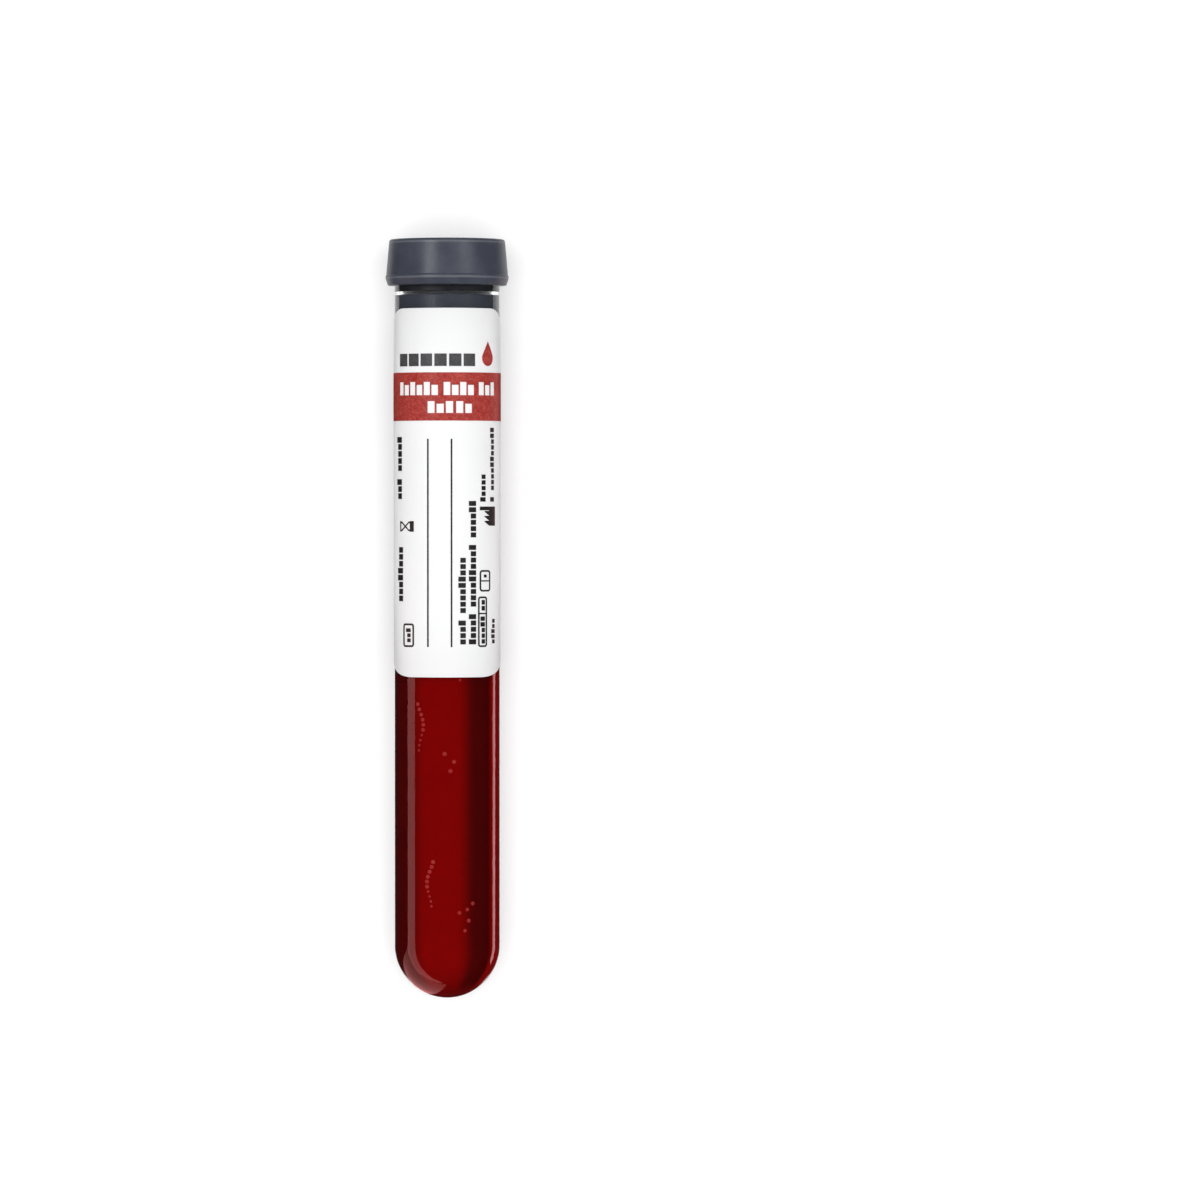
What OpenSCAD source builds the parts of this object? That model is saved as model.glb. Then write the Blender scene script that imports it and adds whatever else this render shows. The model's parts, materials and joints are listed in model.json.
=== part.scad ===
// Blood collection tube, full and lying on its side.
// A round-ended glass tube is closed by a one-piece rubber stopper and carries
// a printed label. Every piece is drawn upright, with the tip of the round end
// at the origin and the axis along +Z, and lie_down() then lays it on the floor,
// where it rests on its round end and on the ridge around the stopper.
// Places on the label are flat ones, in millimetres: x runs around the glass
// from the label's middle line, and y runs up from the label's lower edge.

/* [Glass tube] */
// Outside diameter of the glass
tube_d = 16; // [13:0.5:20]
// Thickness of the glass wall
glass_wall = 1.07; // [0.8:0.01:1.4]
// Length of the glass, from the tip of the round end to the rim
glass_l = 112.3; // [95:0.1:140]

/* [Stopper head] */
// Height of the head above the rim
head_h = 3.2; // [2:0.1:5]
// How far the skirt reaches down over the glass
skirt_l = 3.8; // [3:0.1:6]
// How far the rounded top edge stands out from the glass
top_out = 0.8; // [0.5:0.05:1.2]
// Radius of the rounded top edge
top_edge_r = 0.4; // [0.1:0.05:0.8]
// How far the ridge around the skirt stands out from the glass
ridge_out = 1.37; // [1.2:0.01:2.5]
// Height of the ridge's straight face
ridge_h = 0.35; // [0.2:0.05:0.6]
// Height of the short flare above the ridge
flare_h = 0.2; // [0.1:0.05:0.6]
// How far the flare widens the head on its way down to the ridge
flare_out = 0.1; // [0.02:0.01:0.15]
// Height of the chamfer below the ridge
chamfer_h = 1.05; // [0.5:0.05:1.6]
// How far the skirt's lower edge stands out from the glass
skirt_out = 1.03; // [0.6:0.01:1.15]

/* [Stopper plug] */
// Length of the plug below the rim
plug_l = 12.6; // [9:0.1:18]
// Depth of the groove around the top of the plug
groove_depth = 0.55; // [0.2:0.05:1]
// Length of the groove, down from the rim
groove_l = 4.9; // [4:0.1:6]
// Chamfer around the plug's end
plug_chamfer = 0.6; // [0.2:0.1:1.2]
// Diameter of the hollow in the plug's end
hollow_d = 7; // [4:0.1:9]

/* [Needle well] */
// Diameter of the well in the middle of the head
well_d = 8; // [5:0.1:10]
// Depth of the well
well_depth = 5.8; // [2:0.1:7]
// Thickness of the rubber disc that a needle goes through
septum_t = 3.8; // [2:0.1:5]

/* [Label] */
// Width of the label, measured around the glass
label_w = 29; // [22:0.5:36]
// Height of the label
label_h = 55.9; // [40:0.1:70]
// Distance from the rim down to the label's upper edge
label_below_rim = 7.4; // [6.5:0.1:15]
// Thickness of the label
label_t = 0.12; // [0.05:0.01:0.25]
// Radius of the label's corners
label_corner_r = 6; // [1:0.1:9]

/* [Red print] */
// Distance from the label's upper edge down to the red band
band_below_top = 9.75; // [8.5:0.05:14]
// Height of the red band
band_h = 7.3; // [6.5:0.1:9]
// Height of the bars in the band's upper row
title_bar_h = 1.9; // [1:0.1:2.2]
// Height of the bars in the band's lower row
volume_bar_h = 1.7; // [1:0.1:2.2]
// Space between the band's two rows
band_row_gap = 1; // [0.5:0.1:1.5]
// Diameter of the round part of the drop symbol
drop_d = 2.5; // [1.5:0.1:3.5]

/* [Grey print] */
// Width of each write-on line
line_w = 0.25; // [0.15:0.05:0.5]
// Distance between the two write-on lines
line_pitch = 3.58; // [2.5:0.01:4]
// Space left below the write-on lines
line_margin = 4.6; // [2:0.1:8]
// Space left between the write-on lines and the red band
line_top_gap = 2.75; // [1:0.05:6]
// Distance of the two lines' middle from the label's middle line, to the left
lines_shift = 0.97; // [0:0.01:1.5]
// Height of the bars in the heading above the red band
heading_bar_h = 2; // [1:0.1:2.5]
// Space between the red band and the heading
heading_gap = 1; // [0.5:0.05:2]
// Width of the strokes of the framed boxes
frame_stroke = 0.25; // [0.15:0.05:0.4]
// Space between two bars of one row
word_gap = 0.7; // [0.3:0.1:1]

/* [Fits] */
// Radial clearance of the stopper on the glass, inside and out
stopper_clearance = 0.05; // [0.02:0.01:0.1]
// Space between the head and the rim it sits on
seat_gap = 0.05; // [0.02:0.01:0.2]
// Space between the blood and the glass
blood_wall_gap = 0.02; // [0.01:0.01:0.05]
// Space between the blood and the end of the plug
blood_top_gap = 0.1; // [0.05:0.05:20]
// Space between the glass and the label
glue_gap = 0.01; // [0.01:0.01:0.05]
// Thickness of the printed ink
ink_t = 0.05; // [0.02:0.01:0.08]

/* [Hidden] */

$fn = 96;
CORNER_STEPS = 14; // columns of the label across each rounded corner
MIDDLE_STEPS = 40; // columns of the label between its corners
EDGE_STEPS = 6; // points along the stopper's rounded top edge
CUT = 1; // how far a cutting shape runs past the face that it opens

// Glass and what follows it
tube_r = tube_d / 2;
bore_r = tube_r - glass_wall;
blood_r = bore_r - blood_wall_gap;
plug_end = glass_l - plug_l;
blood_top = plug_end - blood_top_gap;

// Stopper
top_at = glass_l + head_h;
seat_at = glass_l + seat_gap;
skirt_end = glass_l - skirt_l;
ridge_at = skirt_end + chamfer_h;
ridge_top = ridge_at + ridge_h;
flare_at = ridge_top + flare_h;
top_r = tube_r + top_out;
ridge_r = tube_r + ridge_out;
flare_r = ridge_r - flare_out;
skirt_r = tube_r + skirt_out;
skirt_bore_r = tube_r + stopper_clearance;
plug_r = bore_r - stopper_clearance;
neck_r = plug_r - groove_depth;
groove_end = glass_l - groove_l;
hollow_depth = top_at - well_depth - septum_t - plug_end;

// Label and ink
label_r = tube_r + glue_gap;
ink_r = label_r + label_t;
label_from = glass_l - label_below_rim - label_h;
band_from = label_h - band_below_top - band_h;
heading_from = band_from + band_h + heading_gap;

// Rest on the floor: the round end and the ridge both touch it
ridge_run = ridge_at - tube_r;
rest_tilt = atan(ridge_r / ridge_run) - asin(tube_r / norm([ridge_r, ridge_run]));
tip_rise = tube_r * (1 - sin(rest_tilt));
low_y = tube_r * (cos(rest_tilt) - 1);
high_y = (top_at - top_edge_r) * cos(rest_tilt) + (top_r - top_edge_r) * sin(rest_tilt) + top_edge_r;
mid_y = (low_y + high_y) / 2;

// Layout of the print. Places around the glass are shares of the label's width,
// counted from its middle line, and places along the tube are shares of the
// field between the label's lower edge and the red band.
title_row = [-0.29, 0.297];
volume_row = [-0.097, 0.138];
heading_row = [-0.29, 0.155];
drop_place = 0.243;
title_words = [6, 4, 7, 3];
volume_words = [3, 2];
heading_words = [5, 8];
// Rows along the tube: [middle, bar height, from, to, words]
text_rows = [
    [-0.297, 0.062, 0.69, 0.942, [4, 2, 2]],
    [-0.286, 0.062, 0.29, 0.512, [1]],
    [0.083, 0.038, 0.126, 0.471, [5, 4]],
    [0.141, 0.041, 0.126, 0.692, [3, 6, 4, 2]],
    [0.207, 0.041, 0.695, 0.808, [1]],
    [0.266, 0.021, 0.695, 0.978, [5, 3, 4]],
    [0.3, 0.021, 0.695, 0.927, [2, 5]],
    [0.29, 0.038, 0.129, 0.229, [1]]
];
// Framed boxes: [around from, around to, along from, along to]
frames = [
    [-0.255, -0.183, 0.118, 0.208],
    [0.176, 0.234, 0.118, 0.314],
    [0.186, 0.262, 0.335, 0.417],
    [0.183, 0.307, 0.587, 0.664]
];

// Sum of the first n numbers of a list
function sum_of(list, n) = n < 1 ? 0 : list[n - 1] + sum_of(list, n - 1);

// [from, to] of each word's bar in a row that takes up the given span
function word_spans(span, words) =
    let (count = len(words))
    let (unit = (span[1] - span[0] - word_gap * (count - 1)) / sum_of(words, count))
    [for (i = [0 : count - 1])
        let (start = span[0] + word_gap * i + unit * sum_of(words, i))
        [start, start + unit * words[i]]];

// Angle about the axis of a flat place x on the label, whose middle faces -Y
function angle_at(x) = x / label_r * 180 / PI - 90;

// Lays an upright piece on the floor, stopper towards +Y and label up
module lie_down() {
    translate([0, -mid_y, tip_rise]) rotate([rest_tilt - 90, 0, 0]) children();
}

// Solid rod with a round end about the same centre as the outside of the glass
module round_ended(r, to) {
    translate([0, 0, tube_r]) {
        sphere(r);
        cylinder(h = to - tube_r, r = r);
    }
}

// Patch of ink on the label, between two flat places. With spare, it also
// reaches that much further in and out, which makes it a cutting shape.
module ink(x0, x1, y0, y1, spare = 0) {
    rotate([0, 0, angle_at(x0)])
        rotate_extrude(angle = angle_at(x1) - angle_at(x0))
            translate([ink_r - spare, label_from + y0]) square([ink_t + 2 * spare, y1 - y0]);
}

// Shape with an outline of its own, printed with its middle at a flat place
module ink_shape(x, y) {
    intersection() {
        ink(x - label_corner_r, x + label_corner_r, y - label_corner_r, y + label_corner_r);
        rotate([0, 0, angle_at(x)])
            translate([0, 0, label_from + y])
                rotate([90, 0, 90]) linear_extrude(ink_r + ink_t + CUT) children();
    }
}

// Box drawn as an outline
module ink_frame(x0, x1, y0, y1) {
    difference() {
        ink(x0, x1, y0, y1);
        ink(x0 + frame_stroke, x1 - frame_stroke, y0 + frame_stroke, y1 - frame_stroke, CUT);
    }
}

// Round-ended glass tube with a fire-polished rim
module glass_tube() {
    rim_r = glass_wall / 2;
    color("azure", 0.35)
        lie_down() {
            difference() {
                round_ended(tube_r, glass_l - rim_r);
                round_ended(bore_r, glass_l);
            }
            translate([0, 0, glass_l - rim_r]) rotate_extrude() translate([tube_r - rim_r, 0]) circle(rim_r);
        }
}

// Outline of the stopper to one side of its axis, without its two hollows
function stopper_outline() = concat(
    [[0, plug_end], [plug_r - plug_chamfer, plug_end], [plug_r, plug_end + plug_chamfer]],
    [[plug_r, groove_end - groove_depth], [neck_r, groove_end], [neck_r, seat_at]],
    [[skirt_bore_r, seat_at], [skirt_bore_r, skirt_end], [skirt_r, skirt_end]],
    [[ridge_r, ridge_at], [ridge_r, ridge_top], [flare_r, flare_at]],
    [for (i = [0 : EDGE_STEPS])
        let (a = 90 * i / EDGE_STEPS)
        [top_r + top_edge_r * (cos(a) - 1), top_at + top_edge_r * (sin(a) - 1)]],
    [[0, top_at]]
);

// Moulded rubber stopper: head, skirt, plug and septum in one piece
module stopper() {
    color("slategray")
        lie_down()
            difference() {
                rotate_extrude() polygon(stopper_outline());
                translate([0, 0, top_at - well_depth]) cylinder(h = well_depth + CUT, d = well_d);
                translate([0, 0, plug_end - CUT]) cylinder(h = hollow_depth + CUT, d = hollow_d);
            }
}

// Columns of the label from one side to the other: [x, inset from both edges]
function label_columns() =
    let (straight = label_w / 2 - label_corner_r)
    let (corner = [for (i = [0 : CORNER_STEPS])
        let (a = 90 * i / CORNER_STEPS)
        [straight + label_corner_r * cos(a), label_corner_r * (1 - sin(a))]])
    concat(
        [for (c = corner) [-c[0], c[1]]],
        [for (i = [1 : MIDDLE_STEPS - 1]) [straight * (2 * i / MIDDLE_STEPS - 1), 0]],
        [for (i = [CORNER_STEPS : -1 : 0]) corner[i]]
    );

// Label film wrapped part of the way round the glass
module label() {
    columns = label_columns();
    last = len(columns) - 1;
    points = [for (c = columns, corner = [[0, 0], [1, 0], [1, 1], [0, 1]])
        let (a = angle_at(c[0]), r = label_r + label_t * corner[0])
        let (y = corner[1] == 0 ? c[1] : label_h - c[1])
        [r * cos(a), r * sin(a), label_from + y]];
    sides = [for (i = [0 : last - 1], k = [0 : 3])
        let (a = 4 * i + k, b = 4 * i + (k + 1) % 4)
        each [[a, a + 4, b], [b, a + 4, b + 4]]];
    ends = [[0, 1, 2, 3], [for (k = [3 : -1 : 0]) 4 * last + k]];
    color("white") lie_down() polyhedron(points, concat(sides, ends), convexity = 4);
}

// Red band across the label with two rows of bars left out of it, and a drop symbol
module red_print() {
    row_space = (band_h - title_bar_h - volume_bar_h - band_row_gap) / 2;
    volume_from = band_from + row_space;
    title_from = volume_from + volume_bar_h + band_row_gap;
    color("crimson")
        lie_down() {
            difference() {
                ink(-label_w / 2, label_w / 2, band_from, band_from + band_h);
                for (w = word_spans(title_row * label_w, title_words))
                    ink(w[0], w[1], title_from, title_from + title_bar_h, CUT);
                for (w = word_spans(volume_row * label_w, volume_words))
                    ink(w[0], w[1], volume_from, volume_from + volume_bar_h, CUT);
            }
            ink_shape(drop_place * label_w, heading_from + drop_d / 2) drop();
        }
}

// Outline of a falling drop about the middle of its round part, with its point
// one diameter up, so that its straight sides run off the round part smoothly
module drop() {
    touch = asin(drop_d / 2 / drop_d);
    circle(d = drop_d);
    polygon([drop_d / 2 * [-cos(touch), sin(touch)], drop_d / 2 * [cos(touch), sin(touch)], [0, drop_d]]);
}

// Write-on lines, framed boxes and plain bars in the places of words
module grey_print() {
    color("dimgray")
        lie_down() {
            for (side = [-1, 1])
                let (x = side * line_pitch / 2 - lines_shift)
                ink(x - line_w / 2, x + line_w / 2, line_margin, band_from - line_top_gap);
            for (row = text_rows)
                let (x = row[0] * label_w, half_h = row[1] * label_w / 2)
                for (w = word_spans([row[2], row[3]] * band_from, row[4]))
                    ink(x - half_h, x + half_h, w[0], w[1]);
            for (f = frames)
                ink_frame(f[0] * label_w, f[1] * label_w, f[2] * band_from, f[3] * band_from);
            for (w = word_spans(heading_row * label_w, heading_words))
                ink(w[0], w[1], heading_from, heading_from + heading_bar_h);
        }
}

// Blood that fills the glass from the round end up to the plug
module blood_sample() {
    color("darkred") lie_down() round_ended(blood_r, blood_top);
}

glass_tube();
stopper();
label();
red_print();
grey_print();
blood_sample();
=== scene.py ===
"""Dresses the blood collection tube: glass, rubber, label, print and blood.

The tube lies along Y with its stopper towards +Y and its label up. Stations are
distances along the axis from the tip of the round end, and flat places on the
label are x around the glass from its middle line and y up from its lower edge.
"""

from __future__ import annotations

import json
import logging
import math
from dataclasses import dataclass, field
from enum import Enum
from typing import Any, Sequence

import bmesh
import bpy
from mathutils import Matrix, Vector


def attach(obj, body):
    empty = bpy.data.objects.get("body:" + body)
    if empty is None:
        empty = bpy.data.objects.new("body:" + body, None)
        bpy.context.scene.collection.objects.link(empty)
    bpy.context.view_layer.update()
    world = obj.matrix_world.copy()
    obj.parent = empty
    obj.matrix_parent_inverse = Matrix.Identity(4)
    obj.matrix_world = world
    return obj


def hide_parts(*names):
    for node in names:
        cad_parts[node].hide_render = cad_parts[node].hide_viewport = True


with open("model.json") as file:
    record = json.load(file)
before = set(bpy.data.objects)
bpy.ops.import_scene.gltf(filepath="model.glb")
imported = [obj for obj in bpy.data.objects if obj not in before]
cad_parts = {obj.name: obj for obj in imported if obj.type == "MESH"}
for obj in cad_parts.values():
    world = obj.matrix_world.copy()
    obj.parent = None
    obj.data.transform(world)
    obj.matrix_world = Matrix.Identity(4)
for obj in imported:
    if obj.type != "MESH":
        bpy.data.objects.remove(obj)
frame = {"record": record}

MM = 0.001
QUARTER = math.pi / 2.0
ON_AXIS = 1e-7  # a radius under this is a point on the axis
ROSY = (1.0, 0.38, 0.37)
LOG = logging.getLogger("blood_tube")

RGB = tuple[float, float, float]
Point2 = tuple[float, float]
Point3 = tuple[float, float, float]
Box2 = tuple[float, float, float, float]  # x0, x1, y0, y1
Ring = list[bmesh.types.BMVert]


def mm(*sizes: float) -> tuple[float, ...]:
    """Sizes in millimetres as metres."""
    return tuple(size * MM for size in sizes)


class Part(Enum):
    """Names of the pieces, and of the CAD node, body and slot of each."""

    GLASS = ("round_ended_glass", "glass_tube", "tube", "clear_glass")
    STOPPER = ("moulded_stopper", "stopper", "stopper", "grey_rubber")
    LABEL = ("label_sheet", "label", "tube", "label_film")
    RED = ("red_band_and_drop", "red_print", "tube", "red_ink")
    GREY = ("write_lines_and_boxes", "grey_print", "tube", "grey_ink")
    HEADING = ("heading_blocks", "", "tube", "grey_ink")
    ROWS = ("rows_of_small_print", "", "tube", "grey_ink")
    BLOOD = ("blood_fill", "blood_sample", "tube", "blood")
    BUBBLES = ("bubbles_on_glass", "", "tube", "blood")

    def __init__(self, piece: str, node: str, body: str, slot: str) -> None:
        """Keeps the four names apart."""
        self.piece = piece
        self.node = node
        self.body = body
        self.slot = slot


class Inks(Enum):
    """Which ink a printed shape takes."""

    RED = "red"
    GREY = "dark grey"
    HEADING = "heading grey"


# --------------------------------------------------------------------------
# Nodes and their maths
# --------------------------------------------------------------------------


class Value:
    """A number that a node gives, which takes part in Python expressions."""

    def __init__(self, board: "Board", socket: bpy.types.NodeSocket) -> None:
        """Keeps the socket and the board that its expressions are made on."""
        self.board = board
        self.socket = socket

    def __add__(self, other: Any) -> "Value":
        """self + other."""
        return self.board.math("ADD", self, other)

    def __radd__(self, other: Any) -> "Value":
        """other + self."""
        return self.board.math("ADD", other, self)

    def __sub__(self, other: Any) -> "Value":
        """self - other."""
        return self.board.math("SUBTRACT", self, other)

    def __rsub__(self, other: Any) -> "Value":
        """other - self."""
        return self.board.math("SUBTRACT", other, self)

    def __mul__(self, other: Any) -> "Value":
        """self * other."""
        return self.board.math("MULTIPLY", self, other)

    def __rmul__(self, other: Any) -> "Value":
        """other * self."""
        return self.board.math("MULTIPLY", other, self)

    def __truediv__(self, other: Any) -> "Value":
        """self / other."""
        return self.board.math("DIVIDE", self, other)

    def between(self, low: float, high: float) -> "Value":
        """0 below low, 1 above high and a smooth step in between."""
        node = self.board.add(
            "ShaderNodeMapRange",
            {"interpolation_type": "SMOOTHSTEP"},
            {"Value": self, "From Min": low, "From Max": high},
        )
        return Value(self.board, node.outputs["Result"])


class Board:
    """Adds nodes to one node tree."""

    def __init__(self, tree: bpy.types.NodeTree) -> None:
        """Keeps the tree that the nodes go into."""
        self.tree = tree

    def add(
        self,
        kind: str,
        settings: dict[str, Any] | None = None,
        inputs: dict[str | int, Any] | None = None,
    ) -> bpy.types.Node:
        """Adds a node.

        Args:
            kind: the node's type name.
            settings: its properties, which are set before its sockets.
            inputs: values or links of its sockets, by name or number.

        Returns:
            The new node.
        """
        node = self.tree.nodes.new(kind)
        for name, setting in (settings or {}).items():
            setattr(node, name, setting)
        for name, value in (inputs or {}).items():
            self.put(node.inputs[name], value)
        return node

    def put(self, socket: bpy.types.NodeSocket, value: Any) -> None:
        """Links a value to a socket, or sets the socket to a plain value."""
        if isinstance(value, Value):
            value = value.socket
        if isinstance(value, bpy.types.NodeSocket):
            self.tree.links.new(value, socket)
        elif socket.type == "RGBA":
            socket.default_value = (*value[:3], 1.0)
        else:
            socket.default_value = value

    def math(self, operation: str, *values: Any) -> Value:
        """Adds a Math node of the given operation on one to three values."""
        node = self.add("ShaderNodeMath", {"operation": operation}, dict(enumerate(values)))
        return Value(self, node.outputs[0])

    def vector(self, operation: str, *values: Any) -> bpy.types.NodeSocket:
        """Adds a Vector Math node and returns its vector."""
        node = self.add("ShaderNodeVectorMath", {"operation": operation}, dict(enumerate(values)))
        return node.outputs["Vector"]


class Bench(Board):
    """Makes the nodes of one material or of the world."""

    def __init__(self, owner: bpy.types.Material | bpy.types.World) -> None:
        """Gives the owner an empty tree."""
        owner.use_nodes = True
        owner.node_tree.nodes.clear()
        super().__init__(owner.node_tree)

    def dot(self, a: Any, b: Any) -> Value:
        """The dot product of two vectors."""
        node = self.add("ShaderNodeVectorMath", {"operation": "DOT_PRODUCT"}, {0: a, 1: b})
        return Value(self, node.outputs["Value"])

    def mix(self, factor: Any, a: Any, b: Any) -> bpy.types.NodeSocket:
        """Mixes two colours by a factor and returns the colour."""
        settings = {"data_type": "RGBA", "clamp_factor": True}
        return self.add("ShaderNodeMix", settings, {0: factor, 6: a, 7: b}).outputs[2]

    def place(self) -> bpy.types.NodeSocket:
        """The point in the object's own coordinates, in metres."""
        return self.add("ShaderNodeTexCoord").outputs["Object"]

    def noise(self, at: Any, size: float, detail: float = 2.0, rough: float = 0.5) -> Value:
        """Smooth noise about 0.5 whose grains are about the given size in metres."""
        node = self.add(
            "ShaderNodeTexNoise",
            {"noise_dimensions": "3D"},
            {"Vector": at, "Scale": 1.0 / size, "Detail": detail, "Roughness": rough},
        )
        return Value(self, node.outputs[0])

    def bump(self, height: Value, distance: float) -> bpy.types.NodeSocket:
        """Turns a height of 0 to 1 into a normal, with the full height in metres."""
        inputs = {"Height": height, "Distance": distance, "Strength": 1.0}
        return self.add("ShaderNodeBump", None, inputs).outputs["Normal"]

    def principled(self, **sockets: Any) -> bpy.types.NodeSocket:
        """Adds the main shader; an underscore in a name stands for a space."""
        names = {name.replace("_", " "): value for name, value in sockets.items()}
        return self.add("ShaderNodeBsdfPrincipled", None, names).outputs[0]

    def finish(self, shader: bpy.types.NodeSocket, kind: str = "Material") -> None:
        """Joins the finished shader to the output of the material or the world."""
        self.add("ShaderNodeOutput" + kind, None, {"Surface": shader})


# --------------------------------------------------------------------------
# The axis that every piece is made round
# --------------------------------------------------------------------------


@dataclass(frozen=True)
class TubeAxis:
    """The tube's axis as it lies: its tip, its direction, and the way the label faces."""

    tip: Vector
    along: Vector
    up: Vector
    side: Vector

    @classmethod
    def from_record(cls, record: dict[str, Any]) -> "TubeAxis":
        """Reads the axis from the record's mounts.

        Args:
            record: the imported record.

        Returns:
            The axis, with the stopper at its far end.
        """
        mounts = {m["name"]: m for m in record["mounts"]}
        along = Vector(mounts["needle_well"]["axis"]).normalized()
        side = Vector((1.0, 0.0, 0.0))
        return cls(Vector(mounts["round_end"]["pos_m"]), along, side.cross(along), side)

    def outward(self, angle: float) -> Vector:
        """The direction away from the axis at an angle from the label's middle line."""
        return self.up * math.cos(angle) + self.side * math.sin(angle)

    def at(self, radius: float, angle: float, station: float) -> Vector:
        """A point at a radius and station, at an angle from the label's middle line."""
        return self.tip + self.along * station + self.outward(angle) * radius


# --------------------------------------------------------------------------
# Mesh helpers
# --------------------------------------------------------------------------


@dataclass(frozen=True)
class Corner:
    """A corner of a turned outline: radius, station and the rounding of the corner."""

    r: float
    t: float
    rounding: float = 0.0


def rounded_outline(corners: Sequence[Corner], steps: int = 6) -> list[Point2]:
    """Replaces each rounded corner of an open outline with an arc.

    Args:
        corners: the outline's corners, in metres.
        steps: pieces of straight line along each arc.

    Returns:
        Points (radius, station).
    """
    out: list[Point2] = []
    last = len(corners) - 1
    for i, corner in enumerate(corners):
        here = Vector((corner.r, corner.t))
        if corner.rounding <= 0.0 or i in (0, last):
            out.append((here.x, here.y))
            continue
        before = (Vector((corners[i - 1].r, corners[i - 1].t)) - here).normalized()
        after = (Vector((corners[i + 1].r, corners[i + 1].t)) - here).normalized()
        half = before.angle(after) / 2.0
        centre = here + (before + after).normalized() * (corner.rounding / math.sin(half))
        start = here + before * (corner.rounding / math.tan(half)) - centre
        end = here + after * (corner.rounding / math.tan(half)) - centre
        sweep = start.angle_signed(end)
        for k in range(steps + 1):
            turn = -sweep * k / steps
            x = start.x * math.cos(turn) - start.y * math.sin(turn)
            y = start.x * math.sin(turn) + start.y * math.cos(turn)
            out.append((centre.x + x, centre.y + y))
    return out


def linked(name: str, data: bpy.types.ID) -> bpy.types.Object:
    """Puts a mesh, a lamp or a camera into the scene as an object at the origin."""
    thing = bpy.data.objects.new(name, data)
    bpy.context.scene.collection.objects.link(thing)
    return thing


def finished_object(name: str, bm: bmesh.types.BMesh, crease: float) -> bpy.types.Object:
    """Turns a bmesh into a smooth-shaded object at the origin.

    Args:
        name: the piece's name.
        bm: the mesh, which is freed.
        crease: faces that meet at more than this angle, in degrees, keep a hard edge.

    Returns:
        The new object, linked to the scene.
    """
    bmesh.ops.recalc_face_normals(bm, faces=bm.faces)
    mesh = bpy.data.meshes.new(name)
    bm.to_mesh(mesh)
    bm.free()
    mesh.polygons.foreach_set("use_smooth", [True] * len(mesh.polygons))
    mesh.set_sharp_from_angle(angle=math.radians(crease))
    return linked(name, mesh)


def held(outline: Sequence[Point2], grip: float = 0.06 * MM) -> list[Point2]:
    """Adds a point close to both ends of each long straight run of an outline.

    Without them the shading of a rounded corner would roll on over the whole run.

    Args:
        outline: points (radius, station).
        grip: how far the added points stand from the ends of their run.

    Returns:
        The outline with the added points.
    """
    shortest = 10.0 * grip
    out: list[Point2] = [outline[0]]
    for low, high in zip(outline, outline[1:]):
        run = Vector(high) - Vector(low)
        if run.length > shortest:
            step = run.normalized() * grip
            out += [tuple(Vector(low) + step), tuple(Vector(high) - step)]
        out.append(high)
    return out


def turned(
    name: str, axis: TubeAxis, outline: Sequence[Point2], segments: int, crease: float = 40.0
) -> bpy.types.Object:
    """Turns an outline about the tube's axis into a closed solid.

    Args:
        name: the piece's name.
        axis: the tube's axis.
        outline: points (radius, station); it starts and ends on the axis.
        segments: columns of faces around the axis.
        crease: the angle above which an edge stays hard, in degrees.

    Returns:
        The new object.
    """
    bm = bmesh.new()
    rings: list[Ring] = []
    for radius, station in held(outline):
        count = 1 if radius < ON_AXIS else segments
        angles = [math.tau * k / segments for k in range(count)]
        rings.append([bm.verts.new(axis.at(radius, angle, station)) for angle in angles])
    for low, high in zip(rings, rings[1:]):
        for k in range(segments):
            j = (k + 1) % segments
            if len(low) == 1:
                bm.faces.new((low[0], high[j], high[k]))
            elif len(high) == 1:
                bm.faces.new((low[k], low[j], high[0]))
            else:
                bm.faces.new((low[k], low[j], high[j], high[k]))
    return finished_object(name, bm, crease)


def bridge(bm: bmesh.types.BMesh, rings: Sequence[Ring], closed: bool = False) -> None:
    """Joins each ring of points to the next with a band of faces.

    Args:
        bm: the mesh.
        rings: rings of equally many points.
        closed: whether the last ring is joined to the first; otherwise both get a cap.
    """
    pairs = list(zip(rings, rings[1:]))
    if closed:
        pairs.append((rings[-1], rings[0]))
    for a, b in pairs:
        for k in range(len(a)):
            j = (k + 1) % len(a)
            bm.faces.new((a[k], a[j], b[j], b[k]))
    if not closed:
        bm.faces.new(rings[0])
        bm.faces.new(rings[-1])


def dress(thing: bpy.types.Object, part: Part, material: bpy.types.Material) -> None:
    """Gives a piece its material and its body, and hides the CAD node that it stands for, if it has one.
    """
    thing.data.materials.clear()
    thing.data.materials.append(material)
    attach(thing, part.body)
    if part.node:
        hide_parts(part.node)
    LOG.info("%s: %d faces", thing.name, len(thing.data.polygons))


# --------------------------------------------------------------------------
# Finishes
# --------------------------------------------------------------------------


class Finish:
    """What a piece is made of; a sub-class gives it a name and a shader."""

    name: str

    def shader(self, bench: Bench, at: bpy.types.NodeSocket) -> bpy.types.NodeSocket:
        """Builds the shader from the place of each point."""
        raise NotImplementedError

    def material(self) -> bpy.types.Material:
        """Builds the material."""
        material = bpy.data.materials.new(self.name)
        bench = Bench(material)
        bench.finish(self.shader(bench, bench.place()))
        return material


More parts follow.
